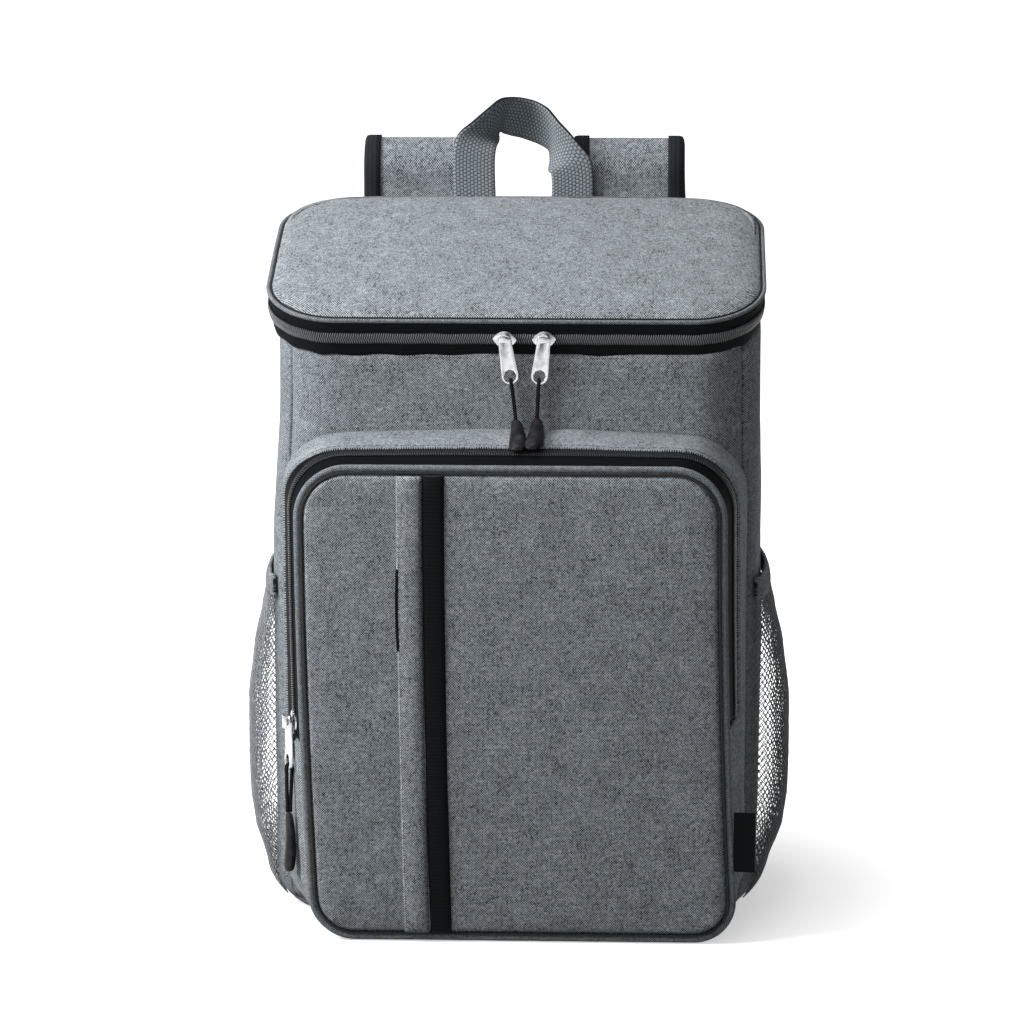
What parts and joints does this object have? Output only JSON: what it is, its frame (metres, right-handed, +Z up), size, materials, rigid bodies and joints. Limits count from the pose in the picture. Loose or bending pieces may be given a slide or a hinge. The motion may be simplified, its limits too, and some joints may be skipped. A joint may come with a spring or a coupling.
{
  "type": "cooler backpack",
  "caption": "Soft cooler backpack with a sloping zipped lid, a zipped front pocket, net side pockets, a webbing grab handle and padded shoulder straps.",
  "frame": {"origin": "middle of the overall box at its underside, on the floor under the base panel", "axes": "+Z up, -Y towards the front pocket, +X to the right as seen from the front"},
  "size_m": [0.316, 0.2574, 0.4571],
  "materials": {
    "heather_cloth": "heather grey woven cloth",
    "piping": "cloth over cord",
    "zip": "black woven tape",
    "net": "fine elastic mesh",
    "grey_webbing": "ribbed grey webbing",
    "black_webbing": "ribbed black webbing",
    "binding": "dark grosgrain tape",
    "black_plastic": "moulded, slightly worn",
    "silver_metal": "nickel plated, satin"
  },
  "bodies": {
    "root": {"front_wall": "heather_cloth", "right_side_wall": "heather_cloth", "left_side_wall": "heather_cloth", "back_wall": "heather_cloth", "base_panel": "heather_cloth", "lid_panel": "heather_cloth", "lid_hinge": "heather_cloth", "pocket_gusset": "heather_cloth", "pocket_panel": "heather_cloth", "placket": "heather_cloth", "net_hem_left": "heather_cloth", "net_hem_right": "heather_cloth", "shoulder_strap_left": "heather_cloth", "shoulder_strap_right": "heather_cloth", "lid_piping": "piping", "pocket_piping": "piping", "lid_zip_tape": "zip", "lid_zip_coil": "zip", "pocket_zip_tape": "zip", "pocket_zip_coil": "zip", "net_pocket_left": "net", "net_pocket_right": "net", "grab_handle": "grey_webbing", "front_webbing": "black_webbing", "side_label": "black_webbing", "buckle_loop_left": "black_webbing", "buckle_loop_right": "black_webbing", "lower_webbing_left": "black_webbing", "lower_webbing_right": "black_webbing", "strap_binding_left_outer": "binding", "strap_binding_left_inner": "binding", "strap_binding_right_outer": "binding", "strap_binding_right_inner": "binding", "strap_buckle_left": "black_plastic", "strap_buckle_right": "black_plastic", "lid_cord_left": "black_plastic", "lid_cord_right": "black_plastic", "pocket_cord": "black_plastic", "lid_grip_left": "black_plastic", "lid_grip_right": "black_plastic", "pocket_grip": "black_plastic", "lid_slider_left": "silver_metal", "lid_slider_right": "silver_metal", "pocket_slider": "silver_metal", "lid_pull_left": "silver_metal", "lid_pull_right": "silver_metal", "pocket_pull": "silver_metal"}
  },
  "joints": []
}
